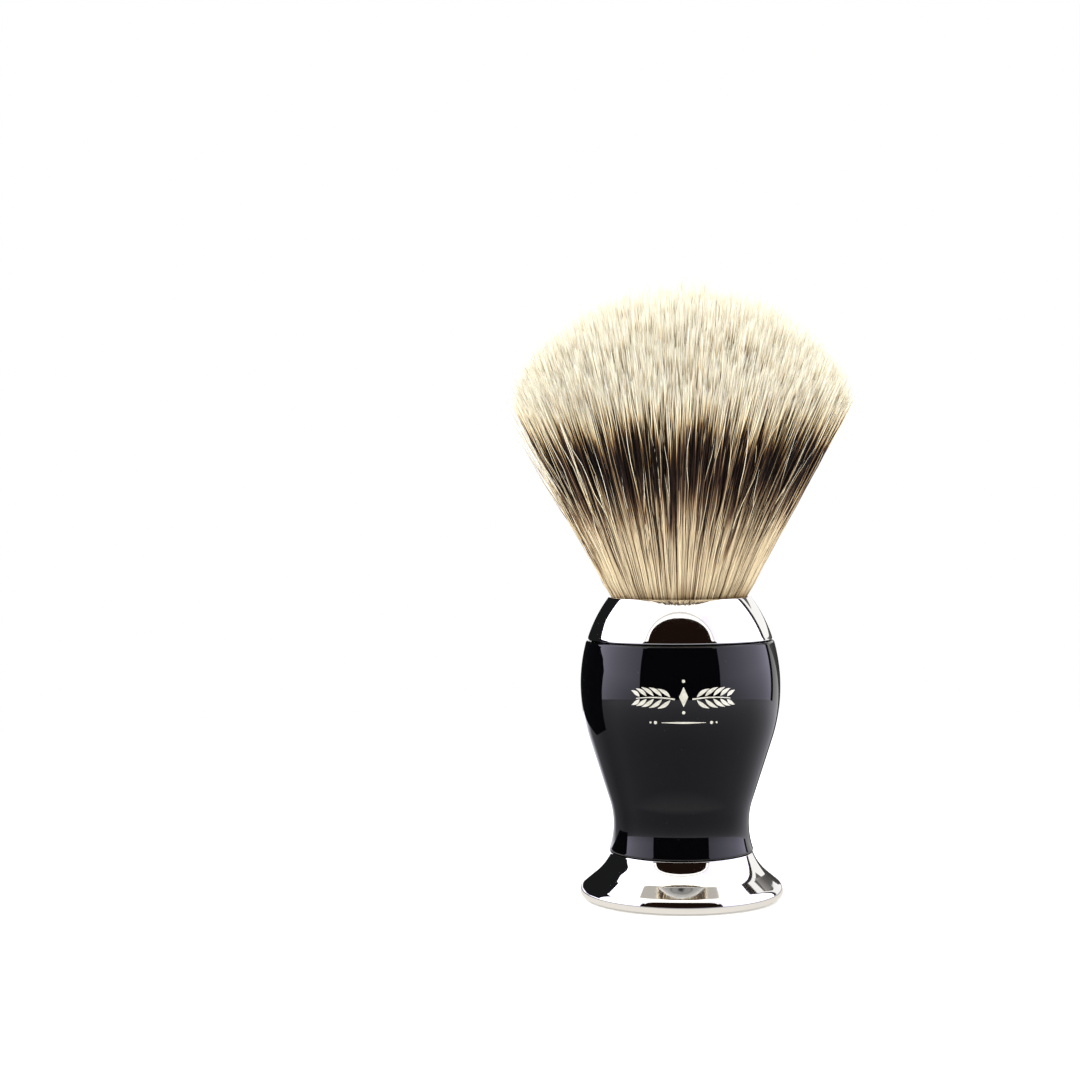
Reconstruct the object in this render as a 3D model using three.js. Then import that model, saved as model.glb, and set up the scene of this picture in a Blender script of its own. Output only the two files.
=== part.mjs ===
// Shaving brush: a hair knot set in a turned handle of gloss black resin, with a chrome
// collar at the top and a flared chrome foot below. A threaded rod down the middle pulls the
// knot socket, the body and the foot together, and the collar screws onto the socket.
//
// Millimetres, +Z up. The origin is the middle of the face that the brush stands on, and
// every piece is turned about the Z axis, so a profile is a list of [radius, height] points.

import * as THREE from "three";

// ---- Fits ----
const GAP = 0.3; // clearance between pieces that touch
const ROUND_SIDES = 36; // facets round the outer pieces
const SMALL_SIDES = 16; // facets round the fasteners

// ---- Foot ----
const FOOT_UNDERSIDE = 0.3; // the pad stands proud of the metal by this much
const FOOT_TOP = 8.3;
const LIP_RADIUS = 18.15; // widest part of the foot
const LIP_UNDER_ROUND = 1.0;
const LIP_UPPER_ROUND = 2.0;
const FLARE_ANGLE = 48; // degrees from upright, on the straight stretch above the lip
const FLARE_END_RADIUS = 15.3; // where the straight stretch becomes the hollow curve
const FLARE_HOLLOW = 9; // radius of the hollow curve up to the body
const SPIGOT_RADIUS = 6;
const SPIGOT_TOP = 10.3;
const PAD_RADIUS = 13;
const PAD_TOP = 1.4;
const PAD_EDGE = 0.3;
const NUT_POCKET_RADIUS = 5.2;
const NUT_POCKET_TOP = 7.0;

// ---- Body ----
const BODY_BOTTOM = FOOT_TOP + GAP;
const BODY_TOP = 46.0;
const WAIST_RADIUS = 12.15;
const WAIST_HEIGHT = 13.3;
const WAIST_HOLLOW = 14; // radius of the hollow curve at the waist
const SIDE_ANGLE = 18; // degrees from upright, on the straight stretch of the side
const BELLY_RADIUS = 17.85;
const BELLY_HEIGHT = 38.0;
const BELLY_LOWER_ROUND = 31.2;
const BELLY_UPPER_ROUND = 30;
const BODY_TOP_ROUND = 0.5;
const BODY_BOTTOM_ROUND = 0.3;

// ---- Collar ----
const COLLAR_BOTTOM = BODY_TOP + GAP;
const COLLAR_RADIUS = 16.45; // at the foot of the dome
const COLLAR_DOME = 25; // radius of the dome's side, seen in section
const COLLAR_START_ANGLE = 18.1; // degrees above level that the dome faces at its foot
const COLLAR_END_ANGLE = 36.6; // and at the rim
const COLLAR_BOTTOM_ROUND = 0.3;
const RIM_ROUND = 0.3;
const MOUTH_RADIUS = 12.15;
const MOUTH_HEIGHT = 53.9;
const COLLAR_LIP_UNDERSIDE = 51.5;

// ---- Knot socket, screwed into the collar and onto the rod ----
const SOCKET_RADIUS = 12.9;
const SOCKET_BORE = 12.0;
const SOCKET_BOTTOM = 31.5;
const SOCKET_FLOOR = 34.0;
const SOCKET_TOP = COLLAR_LIP_UNDERSIDE - GAP;
const BOSS_RADIUS = 5;
const BOSS_BOTTOM = 26.5;
const COLLAR_THREAD_PITCH = 1.0;
const COLLAR_THREAD_START = 46.6;
const COLLAR_THREAD_TURNS = 4;
const COLLAR_THREAD_DEPTH = 0.3;

// ---- Rod and fasteners, M4 ----
const ROD_RADIUS = 1.95;
const ROD_CORE_RADIUS = 1.6;
const ROD_BOTTOM = 2.1;
const ROD_TOP = 32.2;
const ROD_THREAD_PITCH = 0.7;
const ROD_LOWER_TURNS = 9;
const ROD_UPPER_TURNS = 7;
const ROD_HOLE = ROD_RADIUS + GAP;
const NUT_FLATS = 7.0; // across the flats
const NUT_BOTTOM = 2.2;
const NUT_THICKNESS = 2.2;
const NUT_CHAMFER = 0.25;
const SPRING_WASHER_RADIUS = 3.8;
const SPRING_WASHER_BOTTOM = 4.7;
const SPRING_WASHER_THICKNESS = 0.9;
const SPRING_WASHER_SLIT = 14; // degrees
const FLAT_WASHER_RADIUS = 4.5;
const FLAT_WASHER_BOTTOM = 5.9;
const FLAT_WASHER_THICKNESS = 0.8;

// ---- Gaskets, each in a groove of the body ----
const LOWER_GROOVE = [8.0, 11.0];
const UPPER_GROOVE = [14.0, 15.9];
const GROOVE_DEPTH = 0.9;

// ---- Hair knot ----
const ADHESIVE_THICKNESS = 0.7;
const PLUG_RADIUS = 11.6;
const PLUG_BOTTOM = SOCKET_FLOOR + GAP + ADHESIVE_THICKNESS + GAP;
const PLUG_EDGE = 1.0;
const NECK_RADIUS = 10.6;
const NECK_BOTTOM = 43.6;
const NECK_TOP = 47.0;
const PLUG_TOP = 47.4;
const THREAD_DIAMETER = 0.7;
const THREAD_TURNS = 4;
const ROOT_BOTTOM = PLUG_TOP + GAP;
const ROOT_RADIUS = 11.5;
const HAIR_MOUTH_RADIUS = 11.85;
const HAIR_SPREAD = 0.57; // growth of the knot's radius for each millimetre of height
const HAIR_WIDEST = 30.9;
const HAIR_TOP = 109.2;
const DOME_POWER = 1.9; // 2 is an ellipse, and less is fuller at the shoulder's foot
const DOME_STEPS = 12;
const FLEX_HEIGHT = MOUTH_HEIGHT; // the hair bends about the middle of the mouth
const BACKBONE_INNER = 17.0; // balls about the bending point part the hair into three
const BACKBONE_OUTER = 24.0;
const HAIR_GAP = 0.4;

// ---- Colours ----
const CHROME = { color: 0xdfe1e4, roughness: 0.08, metalness: 1.0 };
const BLACK_RESIN = { color: 0x08080a, roughness: 0.08, metalness: 0.0 };
const BRASS = { color: 0xb08d57, roughness: 0.35, metalness: 1.0 };
const STEEL = { color: 0x9a9da1, roughness: 0.35, metalness: 1.0 };
const BLACK_RUBBER = { color: 0x151515, roughness: 0.8, metalness: 0.0 };
const FELT = { color: 0x202022, roughness: 0.95, metalness: 0.0 };
const EPOXY = { color: 0xb79a62, roughness: 0.35, metalness: 0.0 };
const LINEN = { color: 0xd8cfb8, roughness: 0.9, metalness: 0.0 };
const HAIR_CREAM = { color: 0xd9c9a8, roughness: 0.8, metalness: 0.0 };
const HAIR_DARK = { color: 0x2a1d18, roughness: 0.8, metalness: 0.0 };
const HAIR_TIP = { color: 0xf2ece0, roughness: 0.8, metalness: 0.0 };

const radians = THREE.MathUtils.degToRad;
const degrees = THREE.MathUtils.radToDeg;

// ---- Ways of making a piece ----

// Points along a circle's arc, in degrees, where 0 faces out and 90 faces up.
function arc(centreRadius, centreHeight, radius, from, to, steps) {
  const points = [];
  for (let i = 0; i <= steps; i++) {
    const angle = radians(from + ((to - from) * i) / steps);
    points.push([centreRadius + radius * Math.cos(angle), centreHeight + radius * Math.sin(angle)]);
  }
  return points;
}

// A turned piece. The profile runs outwards along the bottom, up the outside and back in.
function turned(profile, sides = ROUND_SIDES) {
  const points = profile.map(([radius, height]) => new THREE.Vector2(radius, height));
  const geometry = new THREE.LatheGeometry(points, sides);
  geometry.rotateX(Math.PI / 2);
  return geometry;
}

// A turned ring: the same, with the profile closed on itself.
function turnedRing(profile, sides = ROUND_SIDES) {
  return turned([...profile, profile[0]], sides);
}

function named(name, geometry, look) {
  const mesh = new THREE.Mesh(geometry, new THREE.MeshStandardMaterial(look));
  mesh.name = name;
  return mesh;
}

// Ridges along an outer surface, from the bottom up, as a thread looks in section.
function ridges(crest, depth, bottom, pitch, turns) {
  const points = [];
  for (let i = 0; i < turns; i++) {
    points.push([crest - depth, bottom + i * pitch]);
    points.push([crest, bottom + (i + 0.5) * pitch]);
  }
  points.push([crest - depth, bottom + turns * pitch]);
  return points;
}

// ---- Foot end ----

function footOutline() {
  const lipHeight = FOOT_UNDERSIDE + LIP_UNDER_ROUND;
  const under = arc(LIP_RADIUS - LIP_UNDER_ROUND, lipHeight, LIP_UNDER_ROUND, -90, 0, 3);
  const lipCentre = LIP_RADIUS - LIP_UPPER_ROUND;
  const upper = arc(lipCentre, lipHeight, LIP_UPPER_ROUND, 0, FLARE_ANGLE, 3);
  const [lipEndRadius, lipEndHeight] = upper[upper.length - 1];
  const slope = 1 / Math.tan(radians(FLARE_ANGLE));
  const flareEnd = lipEndHeight + (lipEndRadius - FLARE_END_RADIUS) * slope;
  const hollowRadius = FLARE_END_RADIUS + FLARE_HOLLOW * Math.cos(radians(FLARE_ANGLE));
  const hollowHeight = flareEnd + FLARE_HOLLOW * Math.sin(radians(FLARE_ANGLE));
  const topAngle = degrees(Math.asin((hollowHeight - FOOT_TOP) / FLARE_HOLLOW));
  const hollow = arc(hollowRadius, hollowHeight, FLARE_HOLLOW, 180 + FLARE_ANGLE, 180 + topAngle, 5);
  return [...under, ...upper.slice(1), ...hollow];
}

function baseFoot() {
  const padRecess = PAD_RADIUS + GAP;
  const padCeiling = PAD_TOP + GAP;
  return turnedRing([
    [padRecess, FOOT_UNDERSIDE],
    ...footOutline(),
    [SPIGOT_RADIUS, FOOT_TOP],
    [SPIGOT_RADIUS, SPIGOT_TOP],
    [ROD_HOLE, SPIGOT_TOP],
    [ROD_HOLE, NUT_POCKET_TOP],
    [NUT_POCKET_RADIUS, NUT_POCKET_TOP],
    [NUT_POCKET_RADIUS, padCeiling],
    [padRecess, padCeiling],
  ]);
}

function basePad() {
  return turned([
    [0, 0],
    [PAD_RADIUS - PAD_EDGE, 0],
    [PAD_RADIUS, PAD_EDGE],
    [PAD_RADIUS, PAD_TOP],
    [0, PAD_TOP],
  ]);
}

function gasket([inner, outer], bottom) {
  const top = bottom + GROOVE_DEPTH - GAP;
  return turnedRing([
    [inner + GAP, bottom],
    [outer - GAP, bottom],
    [outer - GAP, top],
    [inner + GAP, top],
  ]);
}

// ---- Body ----

function bodyOutline() {
  const waistDrop = WAIST_HEIGHT - BODY_BOTTOM - BODY_BOTTOM_ROUND;
  const waistStart = 180 + degrees(Math.asin(waistDrop / WAIST_HOLLOW));
  const waistCentre = WAIST_RADIUS + WAIST_HOLLOW;
  const waist = arc(waistCentre, WAIST_HEIGHT, WAIST_HOLLOW, waistStart, 180 - SIDE_ANGLE, 5);
  const lowerCentre = BELLY_RADIUS - BELLY_LOWER_ROUND;
  const lower = arc(lowerCentre, BELLY_HEIGHT, BELLY_LOWER_ROUND, -SIDE_ANGLE, 0, 4);
  const upperCentre = BELLY_RADIUS - BELLY_UPPER_ROUND;
  const shoulder = BODY_TOP - BODY_TOP_ROUND;
  const upperEnd = degrees(Math.asin((shoulder - BELLY_HEIGHT) / BELLY_UPPER_ROUND));
  const upper = arc(upperCentre, BELLY_HEIGHT, BELLY_UPPER_ROUND, 0, upperEnd, 3);
  const edge = upper[upper.length - 1][0] - BODY_TOP_ROUND;
  const corner = arc(edge, shoulder, BODY_TOP_ROUND, 0, 90, 2);
  const foot = [waist[0][0] - BODY_BOTTOM_ROUND, BODY_BOTTOM];
  return [foot, ...waist, ...lower, ...upper.slice(1), ...corner.slice(1)];
}

function handleBody() {
  const socketPocket = SOCKET_RADIUS + GAP;
  const bossPocket = BOSS_RADIUS + GAP;
  const spigotPocket = SPIGOT_RADIUS + GAP;
  const lowerGrooveTop = BODY_BOTTOM + GROOVE_DEPTH;
  const upperGrooveBottom = BODY_TOP - GROOVE_DEPTH;
  return turnedRing([
    [spigotPocket, BODY_BOTTOM],
    [LOWER_GROOVE[0], BODY_BOTTOM],
    [LOWER_GROOVE[0], lowerGrooveTop],
    [LOWER_GROOVE[1], lowerGrooveTop],
    [LOWER_GROOVE[1], BODY_BOTTOM],
    ...bodyOutline(),
    [UPPER_GROOVE[1], BODY_TOP],
    [UPPER_GROOVE[1], upperGrooveBottom],
    [UPPER_GROOVE[0], upperGrooveBottom],
    [UPPER_GROOVE[0], BODY_TOP],
    [socketPocket, BODY_TOP],
    [socketPocket, SOCKET_BOTTOM - GAP],
    [bossPocket, SOCKET_BOTTOM - GAP],
    [bossPocket, BOSS_BOTTOM - GAP],
    [ROD_HOLE, BOSS_BOTTOM - GAP],
    [ROD_HOLE, SPIGOT_TOP + GAP],
    [spigotPocket, SPIGOT_TOP + GAP],
  ]);
}

// ---- Collar and socket ----

function collarOutline() {
  const domeStart = COLLAR_BOTTOM + COLLAR_BOTTOM_ROUND;
  const start = radians(COLLAR_START_ANGLE);
  const centreRadius = COLLAR_RADIUS - COLLAR_DOME * Math.cos(start);
  const centreHeight = domeStart - COLLAR_DOME * Math.sin(start);
  const dome = arc(centreRadius, centreHeight, COLLAR_DOME, COLLAR_START_ANGLE, COLLAR_END_ANGLE, 5);
  const [rimRadius, rimHeight] = dome[dome.length - 1];
  const end = radians(COLLAR_END_ANGLE);
  const rimCentre = rimRadius - RIM_ROUND * Math.cos(end);
  const rim = arc(rimCentre, rimHeight - RIM_ROUND * Math.sin(end), RIM_ROUND, COLLAR_END_ANGLE, 90, 2);
  return [[COLLAR_RADIUS - COLLAR_BOTTOM_ROUND, COLLAR_BOTTOM], ...dome, ...rim.slice(1)];
}

function topCollar() {
  const threadBore = SOCKET_RADIUS + GAP;
  const outline = collarOutline();
  const rimTop = outline[outline.length - 1][1];
  return turnedRing([
    [threadBore, COLLAR_BOTTOM],
    ...outline,
    [MOUTH_RADIUS, rimTop],
    [MOUTH_RADIUS, COLLAR_LIP_UNDERSIDE],
    [threadBore, COLLAR_LIP_UNDERSIDE],
  ]);
}

function knotSocket() {
  const thread = ridges(
    SOCKET_RADIUS,
    COLLAR_THREAD_DEPTH,
    COLLAR_THREAD_START,
    COLLAR_THREAD_PITCH,
    COLLAR_THREAD_TURNS,
  );
  const shank = SOCKET_RADIUS - COLLAR_THREAD_DEPTH;
  const holeTop = ROD_TOP + GAP;
  return turned([
    [0, holeTop],
    [ROD_HOLE, holeTop],
    [ROD_HOLE, BOSS_BOTTOM],
    [BOSS_RADIUS, BOSS_BOTTOM],
    [BOSS_RADIUS, SOCKET_BOTTOM],
    [SOCKET_RADIUS, SOCKET_BOTTOM],
    [SOCKET_RADIUS, COLLAR_THREAD_START - COLLAR_THREAD_DEPTH],
    ...thread,
    [shank, SOCKET_TOP],
    [SOCKET_BORE, SOCKET_TOP],
    [SOCKET_BORE, SOCKET_FLOOR],
    [0, SOCKET_FLOOR],
  ]);
}

// ---- Rod and fasteners ----

function tieRod() {
  const depth = ROD_RADIUS - ROD_CORE_RADIUS;
  const upperStart = ROD_TOP - ROD_UPPER_TURNS * ROD_THREAD_PITCH;
  return turned(
    [
      [0, ROD_BOTTOM],
      ...ridges(ROD_RADIUS, depth, ROD_BOTTOM, ROD_THREAD_PITCH, ROD_LOWER_TURNS),
      ...ridges(ROD_RADIUS, depth, upperStart, ROD_THREAD_PITCH, ROD_UPPER_TURNS),
      [0, ROD_TOP],
    ],
    SMALL_SIDES,
  );
}

function lockNut() {
  const corner = NUT_FLATS / 2 / Math.cos(radians(30));
  const outline = new THREE.Shape();
  for (let i = 0; i < 6; i++) {
    const angle = (i * Math.PI) / 3;
    const x = (corner - NUT_CHAMFER) * Math.cos(angle);
    const y = (corner - NUT_CHAMFER) * Math.sin(angle);
    if (i === 0) outline.moveTo(x, y);
    else outline.lineTo(x, y);
  }
  outline.closePath();
  const hole = new THREE.Path();
  hole.absarc(0, 0, ROD_HOLE + NUT_CHAMFER, 0, 2 * Math.PI, true);
  outline.holes.push(hole);
  const geometry = new THREE.ExtrudeGeometry(outline, {
    depth: NUT_THICKNESS - 2 * NUT_CHAMFER,
    bevelThickness: NUT_CHAMFER,
    bevelSize: NUT_CHAMFER,
    bevelSegments: 1,
    curveSegments: 12,
  });
  geometry.translate(0, 0, NUT_BOTTOM + NUT_CHAMFER);
  return geometry;
}

function springWasher() {
  const half = radians(SPRING_WASHER_SLIT / 2);
  const outline = new THREE.Shape();
  outline.absarc(0, 0, SPRING_WASHER_RADIUS, half, 2 * Math.PI - half, false);
  outline.absarc(0, 0, ROD_HOLE, 2 * Math.PI - half, half, true);
  outline.closePath();
  const geometry = new THREE.ExtrudeGeometry(outline, {
    depth: SPRING_WASHER_THICKNESS,
    bevelEnabled: false,
    curveSegments: 20,
  });
  geometry.translate(0, 0, SPRING_WASHER_BOTTOM);
  return geometry;
}

function flatWasher() {
  const top = FLAT_WASHER_BOTTOM + FLAT_WASHER_THICKNESS;
  return turnedRing(
    [
      [ROD_HOLE, FLAT_WASHER_BOTTOM],
      [FLAT_WASHER_RADIUS, FLAT_WASHER_BOTTOM],
      [FLAT_WASHER_RADIUS, top],
      [ROD_HOLE, top],
    ],
    SMALL_SIDES,
  );
}

// ---- Hair knot ----

function adhesiveBed() {
  const bottom = SOCKET_FLOOR + GAP;
  return turned([
    [0, bottom],
    [PLUG_RADIUS, bottom],
    [PLUG_RADIUS, bottom + ADHESIVE_THICKNESS],
    [0, bottom + ADHESIVE_THICKNESS],
  ]);
}

function knotPlug() {
  return turned([
    [0, PLUG_BOTTOM],
    ...arc(PLUG_RADIUS - PLUG_EDGE, PLUG_BOTTOM + PLUG_EDGE, PLUG_EDGE, -90, 0, 3),
    [PLUG_RADIUS, NECK_BOTTOM],
    [NECK_RADIUS, NECK_BOTTOM],
    [NECK_RADIUS, NECK_TOP],
    [ROOT_RADIUS, NECK_TOP],
    [ROOT_RADIUS, PLUG_TOP],
    [0, PLUG_TOP],
  ]);
}

// Turns of thread lying side by side round the plug's neck.
function bindingThread() {
  const inner = NECK_RADIUS + GAP;
  const bottom = NECK_BOTTOM + GAP;
  const top = bottom + THREAD_TURNS * THREAD_DIAMETER;
  const crest = inner + THREAD_DIAMETER;
  const groove = THREAD_DIAMETER / 3;
  return turnedRing([
    [inner, bottom],
    ...ridges(crest, groove, bottom, THREAD_DIAMETER, THREAD_TURNS),
    [inner, top],
  ]);
}

// Where the knot's conical side meets a ball about the bending point, as an angle above level.
function coneAngle(ball) {
  const a = 1 + HAIR_SPREAD * HAIR_SPREAD;
  const b = 2 * HAIR_SPREAD * HAIR_MOUTH_RADIUS;
  const c = HAIR_MOUTH_RADIUS * HAIR_MOUTH_RADIUS - ball * ball;
  const height = (-b + Math.sqrt(b * b - 4 * a * c)) / (2 * a);
  return degrees(Math.asin(height / ball));
}

function ballUp(ball) {
  return arc(0, FLEX_HEIGHT, ball, coneAngle(ball), 90, 6);
}

// The same points, with one that rounding has left just off the axis put on it.
function onAxis(points) {
  return points.map(([radius, height]) => [Math.abs(radius) < 1e-9 ? 0 : radius, height]);
}

function bristleRoot() {
  return turned(
    onAxis([
      [0, ROOT_BOTTOM],
      [ROOT_RADIUS, ROOT_BOTTOM],
      [HAIR_MOUTH_RADIUS, COLLAR_LIP_UNDERSIDE - 1],
      [HAIR_MOUTH_RADIUS, MOUTH_HEIGHT],
      ...ballUp(BACKBONE_INNER),
    ]),
  );
}

function bristleBackbone() {
  const inside = ballUp(BACKBONE_INNER + HAIR_GAP).reverse();
  return turned(onAxis([...inside, ...ballUp(BACKBONE_OUTER)]));
}

// The tips' dome, from the knot's widest ring up to the middle.
function domeOutline() {
  const widestHeight = MOUTH_HEIGHT + (HAIR_WIDEST - HAIR_MOUTH_RADIUS) / HAIR_SPREAD;
  const rise = HAIR_TOP - widestHeight;
  const points = [];
  for (let i = 0; i <= DOME_STEPS; i++) {
    const angle = radians((90 * i) / DOME_STEPS);
    const radius = HAIR_WIDEST * Math.pow(Math.cos(angle), 2 / DOME_POWER);
    points.push([radius, widestHeight + rise * Math.pow(Math.sin(angle), 2 / DOME_POWER)]);
  }
  return points;
}

function bristleTips() {
  const inside = ballUp(BACKBONE_OUTER + HAIR_GAP).reverse();
  return turned(onAxis([...inside, ...domeOutline()]));
}

// ---- Assembly ----

const brush = new THREE.Group();
brush.add(
  named("base_pad", basePad(), FELT),
  named("base_foot", baseFoot(), CHROME),
  named("lock_nut", lockNut(), STEEL),
  named("spring_washer", springWasher(), STEEL),
  named("flat_washer", flatWasher(), STEEL),
  named("tie_rod", tieRod(), STEEL),
  named("lower_gasket", gasket(LOWER_GROOVE, BODY_BOTTOM), BLACK_RUBBER),
  named("handle_body", handleBody(), BLACK_RESIN),
  named("upper_gasket", gasket(UPPER_GROOVE, BODY_TOP - GROOVE_DEPTH + GAP), BLACK_RUBBER),
  named("top_collar", topCollar(), CHROME),
  named("knot_socket", knotSocket(), BRASS),
  named("adhesive_bed", adhesiveBed(), EPOXY),
  named("knot_plug", knotPlug(), EPOXY),
  named("binding_thread", bindingThread(), LINEN),
  named("bristle_root", bristleRoot(), HAIR_CREAM),
  named("bristle_backbone", bristleBackbone(), HAIR_DARK),
  named("bristle_tips", bristleTips(), HAIR_TIP),
);

export default brush;
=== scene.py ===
"""Shaving brush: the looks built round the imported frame. Lengths are in millimetres until a mesh is made."""

import math

import bpy
import numpy as np
from mathutils import Matrix, Vector


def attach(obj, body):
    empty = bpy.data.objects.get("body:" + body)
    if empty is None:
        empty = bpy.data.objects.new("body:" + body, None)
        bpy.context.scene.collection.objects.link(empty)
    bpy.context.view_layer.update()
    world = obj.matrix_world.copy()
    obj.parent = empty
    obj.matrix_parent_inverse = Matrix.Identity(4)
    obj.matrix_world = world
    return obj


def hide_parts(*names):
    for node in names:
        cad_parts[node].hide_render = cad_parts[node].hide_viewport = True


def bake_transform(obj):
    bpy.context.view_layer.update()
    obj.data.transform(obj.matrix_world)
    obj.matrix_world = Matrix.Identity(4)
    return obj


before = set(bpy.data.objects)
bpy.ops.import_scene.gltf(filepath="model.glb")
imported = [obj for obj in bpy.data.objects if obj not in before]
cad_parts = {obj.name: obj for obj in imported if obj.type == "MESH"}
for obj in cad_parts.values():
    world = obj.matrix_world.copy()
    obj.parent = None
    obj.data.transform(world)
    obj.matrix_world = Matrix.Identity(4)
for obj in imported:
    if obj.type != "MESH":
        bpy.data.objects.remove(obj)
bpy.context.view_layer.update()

MM = 0.001
UV_NAME = "OFBake"
RNG = np.random.default_rng(20240)

# ---- The camera ----
CAMERA_PLACE = (-24.9, -354.9, 69.6)
CAMERA_LENS = 66.1
CAMERA_DOWN = 0.88
CAMERA_ROLL = -0.43
CAMERA_AZIMUTH = math.degrees(math.atan2(CAMERA_PLACE[0], -CAMERA_PLACE[1]))

# ---- The foot ----
FOOT_UNDERSIDE = 0.3
FOOT_TOP = 8.38
FOOT_TOP_ROUND = 0.12
LIP_RADIUS = 18.15
LIP_UNDER_ROUND = 1.0
LIP_UPPER_ROUND = 2.0
FLARE_ANGLE = 51
FLARE_END_RADIUS = 15.6
FLARE_HOLLOW = 9
SPIGOT_RADIUS = 6
SPIGOT_TOP = 10.3
PAD_RADIUS = 13
PAD_TOP = 1.4
PAD_ROUND = 0.35
NUT_POCKET_RADIUS = 5.2
NUT_POCKET_TOP = 7.0
ROD_HOLE = 2.25
CLEARANCE = 0.3  # round the pad and round the spigot

# ---- The body ----
BODY_BOTTOM = 8.52
BODY_TOP = 46.06
WAIST_RADIUS = 12.15
WAIST_HEIGHT = 13.3
WAIST_HOLLOW = 14
SIDE_ANGLE = 18
BELLY_RADIUS = 17.85
BELLY_HEIGHT = 38.0
BELLY_LOWER_ROUND = 31.2
BELLY_UPPER_ROUND = 30
BODY_TOP_ROUND = 0.5
BODY_BOTTOM_ROUND = 0.3
POCKET_RADIUS = 13.2
POCKET_FLOOR = 31.2
BOSS_POCKET = 5.3
BOSS_FLOOR = 26.2
GROOVE_DEPTH = 0.98
UPPER_GROOVE = (14.0, 15.9)
LOWER_GROOVE = (8.0, 11.0)

# ---- The collar ----
COLLAR_BOTTOM = 46.2
COLLAR_FOOT = 46.6
COLLAR_RADIUS = 16.45
COLLAR_DOME = 25
COLLAR_START_ANGLE = 18.1
COLLAR_END_ANGLE = 36.6
COLLAR_BOTTOM_ROUND = 0.3
RIM_ROUND = 0.3
MOUTH_RADIUS = 12.15
MOUTH_ROUND = 0.2
LIP_UNDERSIDE = 51.5

# ---- The hair ----
HAIR_MOUTH_RADIUS = 11.85
HAIR_MOUTH_HEIGHT = 53.9
HAIR_SPREAD = 0.57
HAIR_WIDEST = 29.5
HAIR_WIDEST_HEIGHT = 87.3
HAIR_TOP = 109.7
DOME_POWER = 1.88
HAIR_CUT = 66.0
HAIR_APEX = HAIR_MOUTH_HEIGHT - HAIR_MOUTH_RADIUS / HAIR_SPREAD
LOWER_RINGS = np.array([52.6, 54.2, 56.2, 58.6, 62.0, HAIR_CUT])  # heights of a long strand's rings
UPPER_RINGS = np.array([0.18, 0.36, 0.52, 0.66, 0.78, 0.88, 0.95, 1.0])  # shares of the way on to its tip
COLUMNS = 128
CREAM_FROM = 102  # the columns from here on are pale guard hairs
BROWN_FROM = 112  # and from here on brown ones
TIP_REACH = 0.95  # the tips draw in to this share of the cone that their roots fill
HAIR_LEAN = 0.6  # the knot leans this far to its right at the tips


# ---- Meshes ----

def arc(centre_radius, centre_height, radius, start, end, steps):
    angles = np.radians(np.linspace(start, end, steps + 1))
    return [(centre_radius + radius * math.cos(a), centre_height + radius * math.sin(a)) for a in angles]


def circle(sides):
    return np.linspace(0, 2 * np.pi, sides, endpoint=False)


def direction(angle):
    return np.stack([np.cos(angle), np.sin(angle)], 1)


def mesh_object(name, points, loops, sizes, smooth=True, uv=None):
    """An object from points in mm, the corner indices of its faces in a row, and each face's corner count."""
    mesh = bpy.data.meshes.new(name)
    mesh.vertices.add(len(points))
    mesh.vertices.foreach_set("co", (np.asarray(points, np.float64) * MM).astype(np.float32).ravel())
    mesh.loops.add(len(loops))
    mesh.loops.foreach_set("vertex_index", np.asarray(loops, np.int32))
    mesh.polygons.add(len(sizes))
    starts = np.concatenate(([0], np.cumsum(sizes)[:-1])).astype(np.int32)
    mesh.polygons.foreach_set("loop_start", starts)
    mesh.polygons.foreach_set("use_smooth", np.full(len(sizes), smooth))
    mesh.update(calc_edges=True)
    if uv is not None:
        layer = mesh.uv_layers.new(name=UV_NAME)
        layer.data.foreach_set("uv", np.asarray(uv, np.float32).ravel())
    mesh.validate()
    obj = bpy.data.objects.new(name, mesh)
    bpy.context.scene.collection.objects.link(obj)
    return obj


def ring_quads(low, high, sides):
    """Faces between rings of points: low and high are ring numbers, one of each for every band of faces."""
    side = np.arange(sides)
    nxt = (side + 1) % sides
    low, high = low[:, None] * sides, high[:, None] * sides
    return np.stack([low + side, low + nxt, high + nxt, high + side], -1)


def fan_caps(bottom, top, last, sides):
    """Triangles from the first ring to the point bottom, and from the ring that starts at last to top."""
    side = np.arange(sides)
    nxt = (side + 1) % sides
    under = np.stack([np.full(sides, bottom), nxt, side], 1)
    over = np.stack([np.full(sides, top), last + side, last + nxt], 1)
    return np.concatenate([under.reshape(-1), over.reshape(-1)])


def lathe(name, profile, sides=256, sharp=32):
    """A closed turned piece. Its profile of (radius, height) is a closed loop, or ends on the axis."""
    profile = np.array(profile, float)
    on_axis = profile[0, 0] < 1e-6
    ring = direction(circle(sides))
    body = profile[1:-1] if on_axis else profile
    count = len(body)
    points = np.concatenate([
        np.repeat(body[:, None, :1], sides, 1) * ring[None],
        np.repeat(body[:, None, 1:], sides, 1),
    ], 2).reshape(-1, 3)
    low = np.arange(count - 1 if on_axis else count)
    loops = ring_quads(low, (low + 1) % count, sides).reshape(-1)
    sizes = np.full(len(low) * sides, 4)
    if on_axis:
        points = np.vstack([points, [0, 0, profile[0, 1]], [0, 0, profile[-1, 1]]])
        caps = fan_caps(len(points) - 2, len(points) - 1, (count - 1) * sides, sides)
        loops = np.concatenate([loops, caps])
        sizes = np.concatenate([sizes, np.full(2 * sides, 3)])
    obj = mesh_object(name, points, loops, sizes)
    obj.data.set_sharp_from_angle(angle=math.radians(sharp))
    return obj


# ---- Materials ----

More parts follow.
